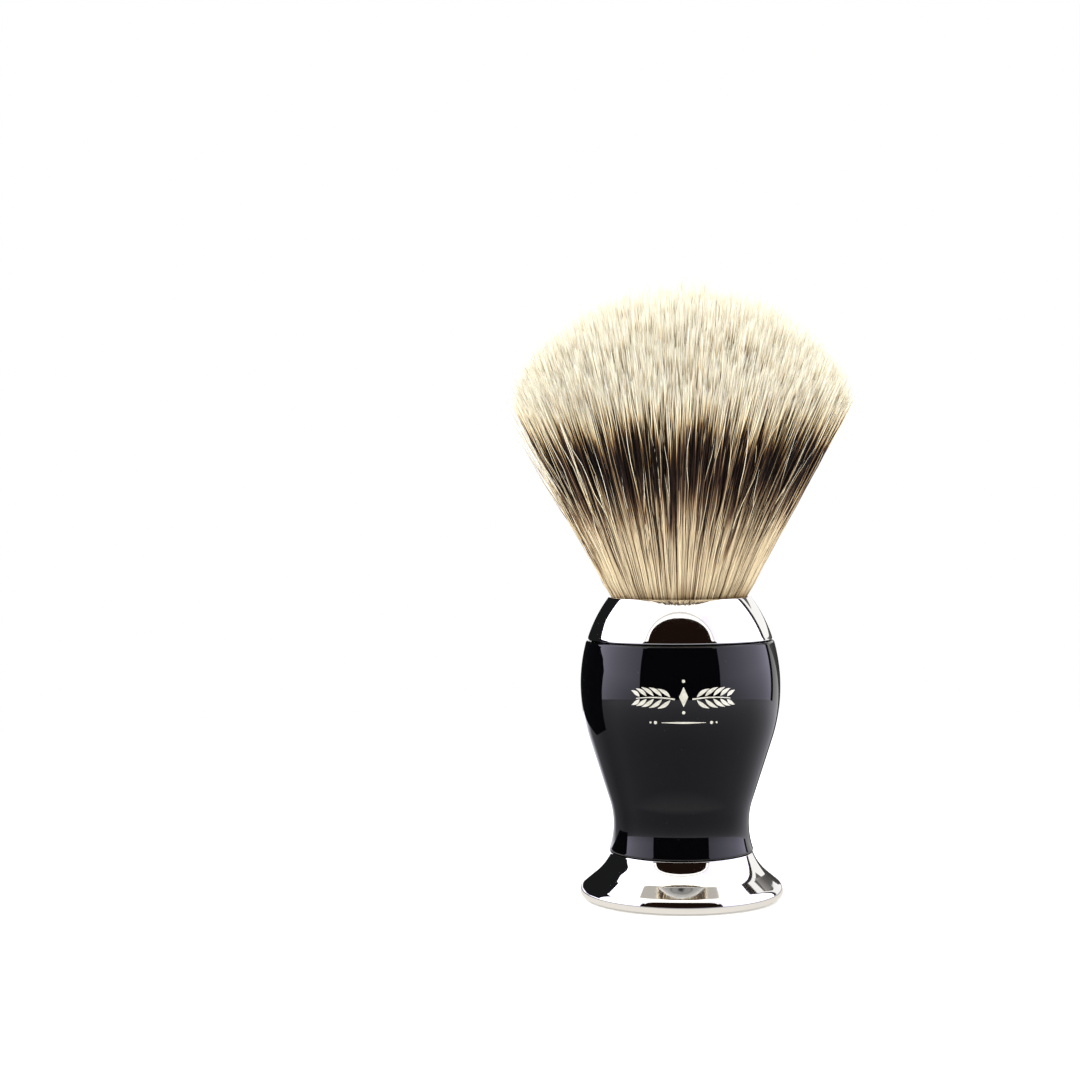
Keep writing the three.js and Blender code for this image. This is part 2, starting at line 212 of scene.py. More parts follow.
class Material:
    """A node material with one Principled shader, and short ways to add nodes to it."""

    def __init__(self, name, **sockets):
        self.material = bpy.data.materials.new(name)
        self.material.use_nodes = True
        self.nodes = self.material.node_tree.nodes
        self.shader = self.nodes["Principled BSDF"]
        for socket, value in sockets.items():
            self.shader.inputs[socket.replace("_", " ")].default_value = value

    def add(self, kind, inputs=None, **settings):
        node = self.nodes.new("ShaderNode" + kind)
        for key, value in settings.items():
            setattr(node, key, value)
        for key, value in (inputs or {}).items():
            if isinstance(value, bpy.types.NodeSocket):
                self.join(value, node.inputs[key])
            else:
                node.inputs[key].default_value = value
        return node

    def join(self, output, socket):
        self.material.node_tree.links.new(output, socket)

    def link(self, output, socket):
        self.join(output, self.shader.inputs[socket])

    def glows_as(self, shader):
        """Ends the material in this shader, and leaves it out of the lights that are sampled."""
        self.join(shader.outputs[0], self.nodes["Material Output"].inputs["Surface"])
        self.material.cycles.emission_sampling = "NONE"

    def place(self):
        return self.add("TexCoord").outputs["Object"]

    def stretched(self, scale):
        return self.add("Mapping", {"Vector": self.place(), "Scale": scale}).outputs["Vector"]

    def noise(self, vector, scale, detail=3.0, roughness=0.5):
        inputs = {"Vector": vector, "Scale": scale, "Detail": detail, "Roughness": roughness}
        return self.add("TexNoise", inputs).outputs["Fac"]

    def math(self, operation, a, b=0.0, c=0.0):
        return self.add("Math", {0: a, 1: b, 2: c}, operation=operation).outputs[0]

    def spread(self, value, low, high, to_low, to_high):
        inputs = {"Value": value, "From Min": low, "From Max": high, "To Min": to_low, "To Max": to_high}
        return self.add("MapRange", inputs).outputs["Result"]

    def ramp(self, value, stops):
        node = self.add("ValToRGB", {"Fac": value})
        elements = node.color_ramp.elements
        while len(elements) < len(stops):
            elements.new(0.5)
        for element, (position, colour) in zip(elements, stops):
            element.position = position
            element.color = (*colour, 1)
        return node.outputs["Color"]

    def mix(self, factor, a, b, blend="MIX"):
        node = self.add("Mix", data_type="RGBA", blend_type=blend)
        for key, value in ((0, factor), (6, a), (7, b)):
            if isinstance(value, bpy.types.NodeSocket):
                self.join(value, node.inputs[key])
            else:
                node.inputs[key].default_value = value if key == 0 else (*value, 1)
        return node.outputs[2]

    def by_azimuth(self, stops):
        """A value that changes round the brush: stops are (degrees from the camera's side, value)."""
        parts = self.add("SeparateXYZ", {"Vector": self.place()})
        angle = self.math("ARCTAN2", parts.outputs["X"], self.math("MULTIPLY", parts.outputs["Y"], -1))
        turned = self.math("SUBTRACT", angle, math.radians(CAMERA_AZIMUTH))
        turned = self.math("WRAP", turned, math.pi, -math.pi)
        peak = max(value for _, value in stops)
        shares = [((degrees + 180) / 360, (value / peak,) * 3) for degrees, value in stops]
        return self.math("MULTIPLY", self.ramp(self.spread(turned, -math.pi, math.pi, 0, 1), shares), peak)

    def bump(self, height, strength, distance):
        inputs = {"Height": height, "Strength": strength, "Distance": distance}
        self.link(self.add("Bump", inputs).outputs["Normal"], "Normal")


def srgb(r, g, b):
    """A display colour, 0 to 255, as the linear shares that a shader takes."""
    shares = (r / 255, g / 255, b / 255)
    return tuple(c / 12.92 if c <= 0.04045 else ((c + 0.055) / 1.055) ** 2.4 for c in shares)


def tones(*stops):
    """Stops for a ramp, from (place, red, green, blue) in display colours."""
    return [(place, srgb(*colour)) for place, *colour in stops]


def chrome_material():
    m = Material("polished_chrome", Metallic=1.0)
    smudge = m.noise(m.place(), 90, 4, 0.6)
    wipe = m.noise(m.stretched((1, 1, 14)), 240, 2, 0.5)
    m.link(m.mix(m.spread(smudge, 0.45, 0.7, 0, 1), (0.93, 0.915, 0.89), (0.89, 0.87, 0.84)), "Base Color")
    haze = m.math("MULTIPLY", m.spread(smudge, 0.4, 0.75, 0.25, 1), m.spread(wipe, 0.3, 0.7, 0.6, 1))
    m.link(m.spread(haze, 0, 1, 0.02, 0.075), "Roughness")
    m.bump(m.noise(m.place(), 700, 2, 0.5), 0.02, 0.0001)
    return m.material


def resin_material():
    m = Material("gloss_black_resin", IOR=1.5)
    dust = m.ramp(m.noise(m.place(), 2600, 1, 0.4), [(0.79, (0, 0, 0)), (0.82, (1, 1, 1))])
    m.link(m.mix(dust, (0.0006, 0.0006, 0.0010), (0.02, 0.02, 0.022)), "Base Color")
    hairline = m.noise(m.stretched((1, 1, 30)), 160, 3, 0.7)
    smudge = m.noise(m.place(), 75, 3, 0.6)
    gloss = m.math("MULTIPLY", m.spread(smudge, 0.4, 0.75, 0.2, 1), m.spread(hairline, 0.35, 0.7, 0.5, 1))
    m.link(m.spread(gloss, 0, 1, 0.015, 0.06), "Roughness")
    m.bump(m.noise(m.place(), 330, 2, 0.5), 0.03, 0.0001)
    return m.material


def foil_material():
    m = Material("silver_foil", Metallic=0.55)
    worn = m.noise(m.place(), 1500, 4, 0.7)
    m.link(m.ramp(worn, tones((0.3, 204, 200, 184), (0.7, 240, 238, 226))), "Base Color")
    m.link(m.spread(worn, 0.3, 0.7, 0.28, 0.5), "Roughness")
    m.bump(worn, 0.3, 0.00002)
    return m.material


def felt_material():
    m = Material("black_felt")
    fibre = m.noise(m.place(), 2400, 5, 0.75)
    tuft = m.noise(m.place(), 420, 3, 0.6)
    shades = tones((0.3, 18, 18, 20), (0.62, 44, 44, 47), (0.8, 78, 78, 80))
    m.link(m.ramp(fibre, shades), "Base Color")
    m.link(m.spread(tuft, 0.3, 0.7, 0.85, 1.0), "Roughness")
    m.bump(m.math("ADD", fibre, tuft), 0.8, 0.0003)
    return m.material


def turned_metal(name, dark, light, low, high):
    """A machined metal: fine lines round the axis, and dull patches."""
    m = Material(name, Metallic=1.0)
    lines = m.noise(m.stretched((1, 1, 60)), 120, 3, 0.6)
    patch = m.noise(m.place(), 260, 3, 0.6)
    m.link(m.ramp(patch, [(0.3, dark), (0.7, light)]), "Base Color")
    m.link(m.spread(m.math("ADD", lines, patch), 0.6, 1.4, low, high), "Roughness")
    m.bump(lines, 0.3, 0.00004)
    return m.material


def plain_grain(name, dark, light, scale, low, high, depth):
    """A dull or glassy non-metal with a grain of its own size."""
    m = Material(name)
    grain = m.noise(m.place(), scale, 4, 0.65)
    m.link(m.ramp(grain, [(0.3, dark), (0.7, light)]), "Base Color")
    m.link(m.spread(grain, 0.3, 0.7, low, high), "Roughness")
    m.bump(grain, 0.4, depth)
    return m.material


def thread_material():
    """Waxed linen thread wound round the knot's neck, with the slant of its twist."""
    m = Material("waxed_thread")
    slant = {"Vector": m.stretched((1, 1, 0.6)), "Scale": 900, "Distortion": 1.5, "Detail": 2}
    twist = m.add("TexWave", slant)
    fibre = m.noise(m.place(), 2500, 4, 0.7)
    both = m.math("ADD", m.math("MULTIPLY", twist.outputs["Fac"], 0.6), m.math("MULTIPLY", fibre, 0.4))
    m.link(m.ramp(both, tones((0.2, 150, 132, 100), (0.8, 224, 212, 184))), "Base Color")
    m.link(m.spread(both, 0.2, 0.8, 0.65, 0.9), "Roughness")
    m.bump(both, 0.6, 0.0001)
    return m.material


def hair_material():
    """Hair whose colour runs along each strand. Across the layout each column is one kind of strand.
    Up it, 0 is the root, 0.4 the foot of the dark band, 0.7 its top and 1 the tip."""
    m = Material("badger_hair")
    m.shader.inputs["Specular IOR Level"].default_value = 0.22
    uv = m.add("UVMap", uv_map=UV_NAME).outputs["UV"]
    parts = m.add("SeparateXYZ", {"Vector": uv})
    column = m.math("FLOOR", m.math("MULTIPLY", parts.outputs["X"], COLUMNS))
    tone, warm = (
        m.add("TexWhiteNoise", {"W": m.math("ADD", column, seed)}, noise_dimensions="1D").outputs["Value"]
        for seed in (500.5, 900.5)
    )
    along = parts.outputs["Y"]
    # Every ramp below darkens from about 0.1 down to 0 at the root: painted shade where the hair goes down
    # into the collar's mouth.
    dark = m.ramp(along, tones(
        (0.00, 116, 90, 64), (0.04, 180, 156, 122), (0.10, 228, 212, 184),
        (0.30, 230, 212, 184), (0.36, 184, 156, 124), (0.41, 102, 74, 56),
        (0.46, 34, 22, 18), (0.62, 17, 11, 11), (0.68, 36, 23, 18),
        (0.72, 132, 94, 58), (0.75, 212, 182, 134), (0.81, 247, 233, 203),
        (0.92, 254, 247, 232), (1.00, 255, 254, 250),
    ))
    russet = m.ramp(along, tones(
        (0.00, 106, 80, 56), (0.06, 168, 140, 106), (0.12, 216, 196, 164),
        (0.28, 208, 184, 150), (0.35, 152, 120, 90), (0.43, 104, 76, 58),
        (0.60, 80, 54, 44), (0.68, 106, 74, 54), (0.74, 174, 138, 96),
        (0.82, 240, 224, 192), (0.92, 252, 243, 225), (1.00, 255, 253, 248),
    ))
    cream = m.ramp(along, tones(
        (0.00, 144, 118, 90), (0.10, 230, 213, 184), (0.38, 226, 208, 178),
        (0.48, 158, 132, 102), (0.64, 144, 116, 90), (0.76, 232, 216, 186),
        (1.00, 255, 254, 250),
    ))
    brown = m.ramp(along, tones(
        (0.00, 58, 38, 27), (0.12, 128, 92, 64), (0.32, 84, 56, 40),
        (0.42, 34, 22, 17), (0.74, 40, 26, 20), (0.82, 112, 78, 50),
        (0.90, 206, 178, 136), (0.96, 246, 236, 216), (1.00, 252, 246, 234),
    ))
    banded = m.mix(m.spread(warm, 0.55, 1.0, 0.0, 0.9), dark, russet)
    colour = m.mix(m.math("GREATER_THAN", column, CREAM_FROM - 0.5), banded, cream)
    colour = m.mix(m.math("GREATER_THAN", column, BROWN_FROM - 0.5), colour, brown)
    speck = m.add("CombineXYZ", {"X": m.math("MULTIPLY", column, 3.7), "Y": m.math("MULTIPLY", along, 26)})
    cloud = m.noise(speck.outputs[0], 1, 2)
    shade = m.math("MULTIPLY", m.spread(tone, 0, 1, 0.74, 1.0), m.spread(cloud, 0.3, 0.7, 0.9, 1.0))
    green = m.math("MULTIPLY", shade, m.spread(tone, 0, 1, 0.97, 1.0))
    yellowing = m.math("MULTIPLY", m.spread(warm, 0, 1, 0.9, 1.0), m.spread(tone, 0, 1, 0.93, 1.0))
    blue = m.math("MULTIPLY", green, yellowing)
    tint = m.add("CombineColor", {"Red": shade, "Green": green, "Blue": blue})
    m.link(m.mix(1.0, colour, tint.outputs["Color"], "MULTIPLY"), "Base Color")
    m.shader.inputs["Roughness"].default_value = 0.5
    return m.material


def wear(obj, material):
    obj.data.materials.clear()
    obj.data.materials.append(material)
    return obj


# ---- The handle's shells ----

def foot_profile():
    lip_height = FOOT_UNDERSIDE + LIP_UNDER_ROUND
    under = arc(LIP_RADIUS - LIP_UNDER_ROUND, lip_height, LIP_UNDER_ROUND, -90, 0, 16)
    upper = arc(LIP_RADIUS - LIP_UPPER_ROUND, lip_height, LIP_UPPER_ROUND, 0, FLARE_ANGLE, 16)
    end_radius, end_height = upper[-1]
    flare_end = end_height + (end_radius - FLARE_END_RADIUS) / math.tan(math.radians(FLARE_ANGLE))
    hollow_radius = FLARE_END_RADIUS + FLARE_HOLLOW * math.cos(math.radians(FLARE_ANGLE))
    hollow_height = flare_end + FLARE_HOLLOW * math.sin(math.radians(FLARE_ANGLE))
    top_angle = math.degrees(math.asin((hollow_height - FOOT_TOP + FOOT_TOP_ROUND) / FLARE_HOLLOW))
    hollow = arc(hollow_radius, hollow_height, FLARE_HOLLOW, 180 + FLARE_ANGLE, 180 + top_angle, 40)
    corner = arc(hollow[-1][0] - FOOT_TOP_ROUND, hollow[-1][1], FOOT_TOP_ROUND, 0, 90, 6)
    recess, ceiling = PAD_RADIUS + CLEARANCE, PAD_TOP + CLEARANCE
    inside = [
        (SPIGOT_RADIUS, FOOT_TOP), (SPIGOT_RADIUS, SPIGOT_TOP), (ROD_HOLE, SPIGOT_TOP),
        (ROD_HOLE, NUT_POCKET_TOP), (NUT_POCKET_RADIUS, NUT_POCKET_TOP), (NUT_POCKET_RADIUS, ceiling),
        (recess, ceiling),
    ]
    return [(recess, FOOT_UNDERSIDE)] + under + upper[1:] + hollow[1:] + corner[1:] + inside


def body_outside():
    drop = WAIST_HEIGHT - BODY_BOTTOM - BODY_BOTTOM_ROUND
    start = 180 + math.degrees(math.asin(drop / WAIST_HOLLOW))
    waist = arc(WAIST_RADIUS + WAIST_HOLLOW, WAIST_HEIGHT, WAIST_HOLLOW, start, 180 - SIDE_ANGLE, 40)
    lower = arc(BELLY_RADIUS - BELLY_LOWER_ROUND, BELLY_HEIGHT, BELLY_LOWER_ROUND, -SIDE_ANGLE, 0, 40)
    shoulder = BODY_TOP - BODY_TOP_ROUND
    end = math.degrees(math.asin((shoulder - BELLY_HEIGHT) / BELLY_UPPER_ROUND))
    upper = arc(BELLY_RADIUS - BELLY_UPPER_ROUND, BELLY_HEIGHT, BELLY_UPPER_ROUND, 0, end, 30)
    side = waist[0][0]
    corner = arc(upper[-1][0] - BODY_TOP_ROUND, shoulder, BODY_TOP_ROUND, end, 90, 8)
    foot = arc(side - BODY_BOTTOM_ROUND, BODY_BOTTOM + BODY_BOTTOM_ROUND, BODY_BOTTOM_ROUND, -90, 0, 6)
    (r0, z0), (r1, z1) = waist[-1], lower[0]
    middle = [(r0 + (r1 - r0) * k / 8, z0 + (z1 - z0) * k / 8) for k in range(1, 8)]
    return foot[:-1] + waist + middle + lower + upper[1:] + corner[1:]


def body_profile():
    upper_inner, upper_outer = UPPER_GROOVE
    lower_inner, lower_outer = LOWER_GROOVE
    upper_floor, lower_floor = BODY_TOP - GROOVE_DEPTH, BODY_BOTTOM + GROOVE_DEPTH
    socket_radius, socket_top = SPIGOT_RADIUS + CLEARANCE, SPIGOT_TOP + CLEARANCE
    inside = [
        (upper_outer, BODY_TOP), (upper_outer, upper_floor), (upper_inner, upper_floor),
        (upper_inner, BODY_TOP), (POCKET_RADIUS, BODY_TOP), (POCKET_RADIUS, POCKET_FLOOR),
        (BOSS_POCKET, POCKET_FLOOR), (BOSS_POCKET, BOSS_FLOOR), (ROD_HOLE, BOSS_FLOOR),
        (ROD_HOLE, socket_top), (socket_radius, socket_top), (socket_radius, BODY_BOTTOM),
        (lower_inner, BODY_BOTTOM), (lower_inner, lower_floor), (lower_outer, lower_floor),
        (lower_outer, BODY_BOTTOM),
    ]
    return body_outside() + inside


def collar_profile():
    start, end = math.radians(COLLAR_START_ANGLE), math.radians(COLLAR_END_ANGLE)
    centre = (COLLAR_RADIUS - COLLAR_DOME * math.cos(start), COLLAR_FOOT - COLLAR_DOME * math.sin(start))
    dome = arc(*centre, COLLAR_DOME, COLLAR_START_ANGLE, COLLAR_END_ANGLE, 40)
    rim_radius, rim_height = dome[-1]
    rim_centre = (rim_radius - RIM_ROUND * math.cos(end), rim_height - RIM_ROUND * math.sin(end))
    rim = arc(*rim_centre, RIM_ROUND, COLLAR_END_ANGLE, 90, 8)
    bottom_round = COLLAR_BOTTOM_ROUND
    under = arc(COLLAR_RADIUS - bottom_round, COLLAR_BOTTOM + bottom_round, bottom_round, -90, 0, 8)
    inner = arc(MOUTH_RADIUS + MOUTH_ROUND, rim[-1][1] - MOUTH_ROUND, MOUTH_ROUND, 90, 180, 5)
    inside = [(MOUTH_RADIUS, LIP_UNDERSIDE), (POCKET_RADIUS, LIP_UNDERSIDE), (POCKET_RADIUS, COLLAR_BOTTOM)]
    return under + dome[1:] + rim[1:] + inner + inside


def pad_profile():
    low = arc(PAD_RADIUS - PAD_ROUND, PAD_ROUND, PAD_ROUND, -90, 0, 6)
    return [(0, 0), (4, 0), (8, 0), (11, 0)] + low + [(PAD_RADIUS, PAD_TOP), (8, PAD_TOP), (0, PAD_TOP)]


def build_handle():
    chrome, resin = chrome_material(), resin_material()
    foot = wear(lathe("chrome_foot", foot_profile()), chrome)
    body = wear(lathe("resin_body", body_profile()), resin)
    collar = wear(lathe("chrome_collar", collar_profile()), chrome)
    pad = wear(lathe("felt_pad", pad_profile(), 96), felt_material())
    for piece, node, slot in (
        (foot, "base_foot", "chrome"), (body, "handle_body", "black_resin"),
        (collar, "top_collar", "chrome"), (pad, "base_pad", "felt"),
    ):
        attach(piece, "handle")
        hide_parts(node)
    steel = turned_metal("zinc_steel", srgb(128, 130, 134), srgb(190, 192, 195), 0.28, 0.5)
    brass = turned_metal("turned_brass", srgb(150, 112, 60), srgb(206, 168, 100), 0.25, 0.45)
    rubber = plain_grain("black_rubber", srgb(14, 14, 15), srgb(34, 34, 36), 900, 0.7, 0.95, 0.0001)
    epoxy = plain_grain("cured_epoxy", srgb(150, 122, 70), srgb(196, 168, 112), 500, 0.2, 0.5, 0.00005)
    for node, material in (
        ("lock_nut", steel), ("spring_washer", steel), ("flat_washer", steel), ("tie_rod", steel),
        ("knot_socket", brass), ("lower_gasket", rubber), ("upper_gasket", rubber),
        ("adhesive_bed", epoxy), ("knot_plug", epoxy), ("binding_thread", thread_material()),
    ):
        wear(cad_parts[node], material)


# ---- The foil ornament ----

ORNAMENT_HEIGHT = 37.5
ORNAMENT_AZIMUTH = CAMERA_AZIMUTH + 1.9
ORNAMENT_SCALE = 1.14
ORNAMENT_BODY_RADIUS = 17.7  # turns a width on the drawing into an angle round the body
RULE_HEIGHT = -3.9
FOIL_PROUD = 0.03
FOIL_SUNK = 0.02


def stroke(start, heading, length, turn, width, steps=44):
    """A stroke drawn by a heading that turns: turn gives the degrees turned by a share of its length."""
    t = np.linspace(0, 1, steps)
    angle = np.radians(heading + turn(t))
    step = length / (steps - 1)
    x = start[0] + np.concatenate(([0], np.cumsum(np.cos(angle[:-1]) * step)))
    y = start[1] + np.concatenate(([0], np.cumsum(np.sin(angle[:-1]) * step)))
    return np.stack([x, y], 1), width(t)


def ornament_strokes():
    """A pair of leaf sprigs, a lozenge, dots and a rule: each a centre line in mm and its width along it."""
    leaf = lambda t: 0.05 + 0.52 * np.sin(np.pi * t ** 0.85) ** 1.2
    stem = stroke((1.3, -0.35), 9, 6.0, lambda t: -18 * t, lambda t: 0.24 - 0.12 * t)
    right = [stem]
    for share, size in ((0.10, 2.3), (0.30, 2.4), (0.50, 2.3), (0.70, 2.0), (0.88, 1.6)):
        place = stem[0][round(share * (len(stem[0]) - 1))]
        for side in (1, -1):
            root = place + (0.14, side * 0.22)
            right.append(stroke(root, side * 50, size, lambda t, side=side: -side * 34 * t, leaf))
    left = [(line * (-1, 1), width) for line, width in right]
    middle = np.stack([np.zeros(30), np.linspace(-1.5, 1.5, 30)], 1)
    lozenge = [(middle, 1.35 * (1 - np.abs(np.linspace(-1, 1, 30))) + 0.02)]
    rule = np.stack([np.linspace(-3.4, 3.4, 40), np.full(40, RULE_HEIGHT)], 1)
    lines = [(rule, 0.06 + 0.22 * (1 - np.abs(np.linspace(-1, 1, 40)) ** 1.5))]
    dots = []
    t = np.linspace(-1, 1, 15)
    for x, y, size in (
        (-4.3, RULE_HEIGHT, 0.5), (4.3, RULE_HEIGHT, 0.5), (-5.1, RULE_HEIGHT, 0.32),
        (5.1, RULE_HEIGHT, 0.32), (0, 2.35, 0.5), (0, -2.35, 0.5),
    ):
        line = np.stack([x + t * size / 2, np.full(15, y)], 1)
        dots.append((line, size * np.sqrt(np.maximum(1 - t ** 2, 0.004))))
    return right + left + lozenge + lines + dots


def foil_on_body(flat, proud):
    outside = np.array(body_outside())
    height = ORNAMENT_HEIGHT + flat[:, 1] * ORNAMENT_SCALE
    radius = np.interp(height, outside[:, 1], outside[:, 0]) + proud
    angle = math.radians(ORNAMENT_AZIMUTH) + flat[:, 0] * ORNAMENT_SCALE / ORNAMENT_BODY_RADIUS
    return np.stack([radius * np.sin(angle), -radius * np.cos(angle), height], 1)


def build_ornament():
    points, loops, sizes, base = [], [], [], 0
    for line, width in ornament_strokes():
        along = np.gradient(line, axis=0)
        along /= np.linalg.norm(along, axis=1)[:, None]
        across = np.stack([-along[:, 1], along[:, 0]], 1) * width[:, None] / 2
        shares = (1.0, 0.0, -1.0)
        rows = len(line)
        for proud in (FOIL_PROUD, -FOIL_SUNK):
            for share in shares:
                points.append(foil_on_body(line + across * share, proud))
        index = lambda layer, side, i: base + (layer * 3 + side) * rows + i
        quad = lambda i, *corners: tuple(index(layer, side, i + step) for layer, side, step in corners)
        i = np.arange(rows - 1)
        quads = []
        for side in (0, 1):
            quads.append(quad(i, (0, side, 0), (0, side + 1, 0), (0, side + 1, 1), (0, side, 1)))
            quads.append(quad(i, (1, side, 0), (1, side, 1), (1, side + 1, 1), (1, side + 1, 0)))
        quads.append(quad(i, (0, 0, 0), (0, 0, 1), (1, 0, 1), (1, 0, 0)))
        quads.append(quad(i, (0, 2, 0), (1, 2, 0), (1, 2, 1), (0, 2, 1)))
        for end, flip in ((0, False), (rows - 1, True)):
            for side in (0, 1):
                corner = quad(np.array([end]), (0, side, 0), (1, side, 0), (1, side + 1, 0), (0, side + 1, 0))
                quads.append(corner[::-1] if flip else corner)
        made = np.concatenate([np.stack(q, 1) for q in quads])
        loops.append(made.reshape(-1))
        sizes.append(np.full(len(made), 4))
        base += 6 * rows
    loops, sizes = np.concatenate(loops), np.concatenate(sizes)
    piece = mesh_object("foil_ornament", np.vstack(points), loops, sizes, smooth=False)
    wear(piece, foil_material())
    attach(piece, "handle")


# ---- The hair ----

def knot_radius(height):
    return HAIR_SPREAD * (height - HAIR_APEX)


def dome_table():
    t = np.radians(np.linspace(0, 90, 400))
    radius = HAIR_WIDEST * np.cos(t) ** (2 / DOME_POWER)
    height = HAIR_WIDEST_HEIGHT + (HAIR_TOP - HAIR_WIDEST_HEIGHT) * np.sin(t) ** (2 / DOME_POWER)
    share = radius / knot_radius(height)
    order = np.argsort(share)
    return share[order], height[order]


DOME_SHARE, DOME_HEIGHT = dome_table()


def dome_height(share):
    return np.interp(share, DOME_SHARE, DOME_HEIGHT)


def strand_columns(count, pale=0.08, brown=0.14):
    """A kind for each strand: mostly banded, some pale guard hairs and some brown ones."""
    pick = RNG.random(count)
    banded = RNG.integers(0, CREAM_FROM, count)
    guard = RNG.integers(CREAM_FROM, BROWN_FROM, count)
    dark = RNG.integers(BROWN_FROM, COLUMNS, count)
    return np.where(pick < pale, guard, np.where(pick < pale + brown, dark, banded))


def strand_colour(distance, white, band, length):
    """Where a point is in the layout, by its distance from the tip and its strand's own lengths."""
    tip = 1 - 0.3 * distance / white
    dark = 0.7 - 0.3 * (distance - white) / band
    root = 0.4 - 0.4 * (distance - white - band) / np.maximum(length - white - band, 1)
    below = np.where(distance < white + band, dark, root)
    return np.clip(np.where(distance < white, tip, below), 0.003, 0.997)


def strand_mesh(name, centres, widths, along, columns):
    """Closed three-sided tapering strands, from centres (strands, rings, 3) and widths (strands, rings)."""
    count, rings = centres.shape[:2]
    tangent = np.gradient(centres, axis=1)
    tangent /= np.linalg.norm(tangent, axis=2)[..., None]
    spin = RNG.uniform(0, 2 * np.pi, count)
    guess = np.stack([np.cos(spin), np.sin(spin), np.zeros(count)], 1)[:, None]
    side = guess - tangent * (tangent * guess).sum(2)[..., None]
    side /= np.linalg.norm(side, axis=2)[..., None]
    other = np.cross(tangent, side)
    turns = np.radians([0, 120, 240])
    offset = side[:, :, None] * np.cos(turns)[:, None] + other[:, :, None] * np.sin(turns)[:, None]
    points = centres[:, :, None] + offset * widths[:, :, None, None] / 2
    start = (np.arange(count) * rings * 3)[:, None]
    band = np.arange(rings - 1)
    quads = start[..., None, None] + ring_quads(band, band + 1, 3)
    first = start + np.array([2, 1, 0])
    last = start + (rings - 1) * 3 + np.array([0, 1, 2])
    loops = np.concatenate([quads.reshape(-1), first.reshape(-1), last.reshape(-1)])
    sizes = np.concatenate([np.full(quads.size // 4, 4), np.full(2 * count, 3)])
    across = (columns[:, None, None] + np.array([0.2, 0.5, 0.8])) / COLUMNS
    layout = np.stack(np.broadcast_arrays(across, along[:, :, None]), -1).reshape(-1, 2)
    obj = mesh_object(name, points.reshape(-1, 3), loops, sizes, uv=layout[loops])
    ends = np.empty(2 * len(obj.data.edges), np.int32)
    obj.data.edges.foreach_get("vertices", ends)
    rung = ends.reshape(-1, 2) % (rings * 3) // 3
    capped = (rung[:, 0] == rung[:, 1]) & ((rung[:, 0] == 0) | (rung[:, 0] == rings - 1))
    obj.data.edges.foreach_set("use_edge_sharp", capped)
    return obj


def clumped(count, clumps, low, high):
    """Roots and tips as points of a unit disc. At the tip, strands gather towards their clump's middle."""
    k = np.arange(clumps)
    centre_share = np.sqrt(low ** 2 + (high ** 2 - low ** 2) * (k + 0.5) / clumps)
    centre_angle = k * math.pi * (3 - math.sqrt(5)) + RNG.normal(0, 0.02, clumps)
    centre = centre_share[:, None] * direction(centre_angle)
    pull = RNG.uniform(0.3, 0.92, clumps)
    own = RNG.integers(0, clumps, count)
    reach = 0.85 * math.sqrt((high ** 2 - low ** 2) / clumps)
    root = centre[own] + RNG.normal(0, reach, (count, 2))
    share = np.linalg.norm(root, axis=1)
    root *= (np.clip(share, 0, 2 * high - share) / np.maximum(share, 1e-6))[:, None]
    tip = centre[own] + (root - centre[own]) * (1 - pull[own])[:, None]
    return root, tip, own


def strand_lines(root, tip, heights, sway, wave):
    """Centre lines of strands from disc points at root and tip, at the given heights (strands, rings)."""
    top = heights[:, -1:]
    run = np.clip((heights - HAIR_MOUTH_HEIGHT) / (top - HAIR_MOUTH_HEIGHT), 0, 1)
    disc = root[:, None] + (tip - root)[:, None] * run[..., None]
    flat = disc * knot_radius(heights)[..., None]
    flat = flat + sway[:, None] * (run ** 2.2)[..., None] + run[..., None] * (HAIR_LEAN, 0)
    phase = RNG.uniform(0, 2 * np.pi, (len(root), 2))
    length = RNG.uniform(9, 22, (len(root), 1))
    swing = np.sin(2 * np.pi * heights[..., None] / length[:, None] + phase[:, None])
    free = np.clip((heights - HAIR_MOUTH_HEIGHT) / 10, 0, 1)
    flat = flat + swing * (wave[:, None] * free)[..., None]
    share = np.linalg.norm(root, axis=1)[:, None]
    bulge = 0.25 * np.exp(-((heights - 56.2) / 2.4) ** 2) * np.clip((share - 0.85) / 0.15, 0, 1)
    outward = root / np.maximum(np.linalg.norm(root, axis=1), 1e-6)[:, None]
    flat = flat + outward[:, None] * bulge[..., None]
    return np.concatenate([flat, heights[..., None]], 2)


def tapered(distance, width, taper):
    return width[:, None] * np.clip((distance / taper + 0.06), 0.06, 1) ** 0.75


def from_tip(lines):
    step = np.linalg.norm(np.diff(lines, axis=1), axis=2)
    return np.concatenate([np.cumsum(step[:, ::-1], axis=1)[:, ::-1], np.zeros((len(lines), 1))], 1)


def white_length(share, own):
    """How long each strand's white tip is: alike in one clump, with some short ones towards the outside."""
    count, clumps = len(own), own.max() + 1
    base = np.interp(share, [0.0, 0.7, 0.9, 1.0], [15.0, 13.2, 9.6, 7.6])
    short = RNG.random(count) < np.interp(share, [0.3, 0.6, 0.9], [0.03, 0.13, 0.24])
    base = base * np.where(short, RNG.uniform(0.3, 0.75, count), 1)
    base = base * np.exp(RNG.normal(0, 0.13, clumps))[own]
    return np.maximum(base * np.exp(RNG.normal(0, 0.18, count)), 1.6)


def band_length(count):
    long = RNG.random(count) < 0.38
    return 10.1 + RNG.uniform(0, 4.5, count) + long * RNG.uniform(0, 11, count)


def uneven_top(share, own, single, tuft):
    """The height that each tip reaches: the dome, with a spread for single hairs and one for whole tufts."""
    raised = np.clip(RNG.normal(0, tuft, own.max() + 1), -2.2 * tuft, 1.2 * tuft)[own]
    own_rise = np.clip(RNG.normal(0, single, len(own)), -2.5 * single, 1.5 * single)
    return dome_height(share) + own_rise + raised


